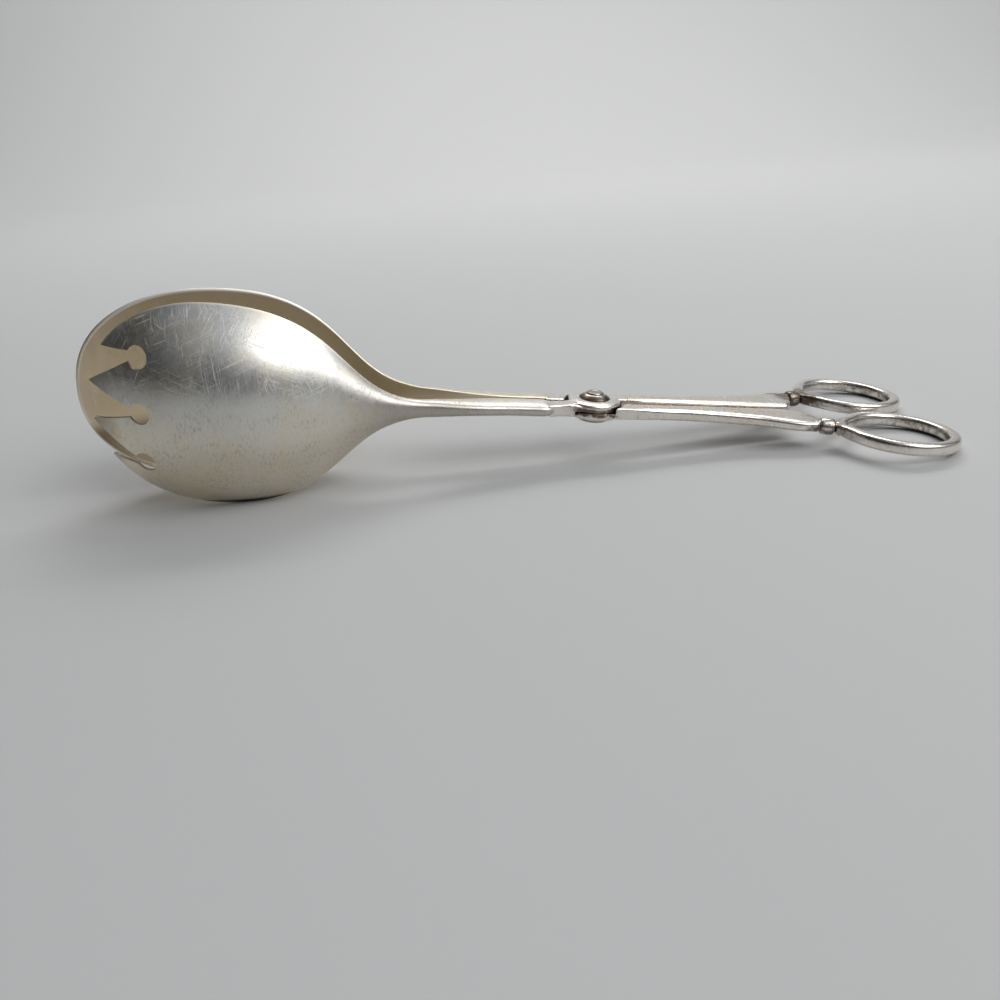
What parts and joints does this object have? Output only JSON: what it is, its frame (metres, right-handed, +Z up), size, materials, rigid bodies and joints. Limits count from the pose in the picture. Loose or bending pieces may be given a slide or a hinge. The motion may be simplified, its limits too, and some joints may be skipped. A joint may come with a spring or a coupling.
{
  "type": "salad tongs",
  "caption": "Scissor-action salad tongs in worn silver plate: a pierced fork bowl and a spoon bowl on crossed levers with a riveted pivot and finger rings.",
  "frame": {"origin": "centre of the bounding box, at the height of the table that the tongs lie on", "axes": "+X along the tongs from the bowls to the finger rings, +Y from the fork to the spoon, +Z up from the table"},
  "size_m": [0.2628, 0.0726, 0.0608],
  "materials": {
    "fork_plate": "silver plate on nickel silver, polished and finely scratched, warm tarnish towards the rim",
    "spoon_plate": "silver plate on nickel silver, worn satin with a yellow tarnish inside the bowl",
    "handle_plate": "silver plate on nickel silver, polished, with dark tarnish in the grooves",
    "pivot_plate": "silver plate on nickel silver, worn, with dark tarnish at the skirt"
  },
  "bodies": {
    "fork_lever": {"fork_bowl": "fork_plate", "fork_handle": "handle_plate", "fork_collar": "handle_plate", "fork_ring": "handle_plate", "pivot_rivet": "pivot_plate", "dome_washer": "pivot_plate", "burr_washer": "pivot_plate"},
    "spoon_lever": {"spoon_bowl": "spoon_plate", "spoon_handle": "handle_plate", "spoon_collar": "handle_plate", "spoon_ring": "handle_plate"}
  },
  "joints": [
    {"name": "pivot", "type": "hinge", "parent": "fork_lever", "child": "spoon_lever", "pos_m": [0.02306, 0, 0.01581], "axis": [-0.1281, 0, -0.9918], "range_deg": [-1.4, 50]}
  ]
}
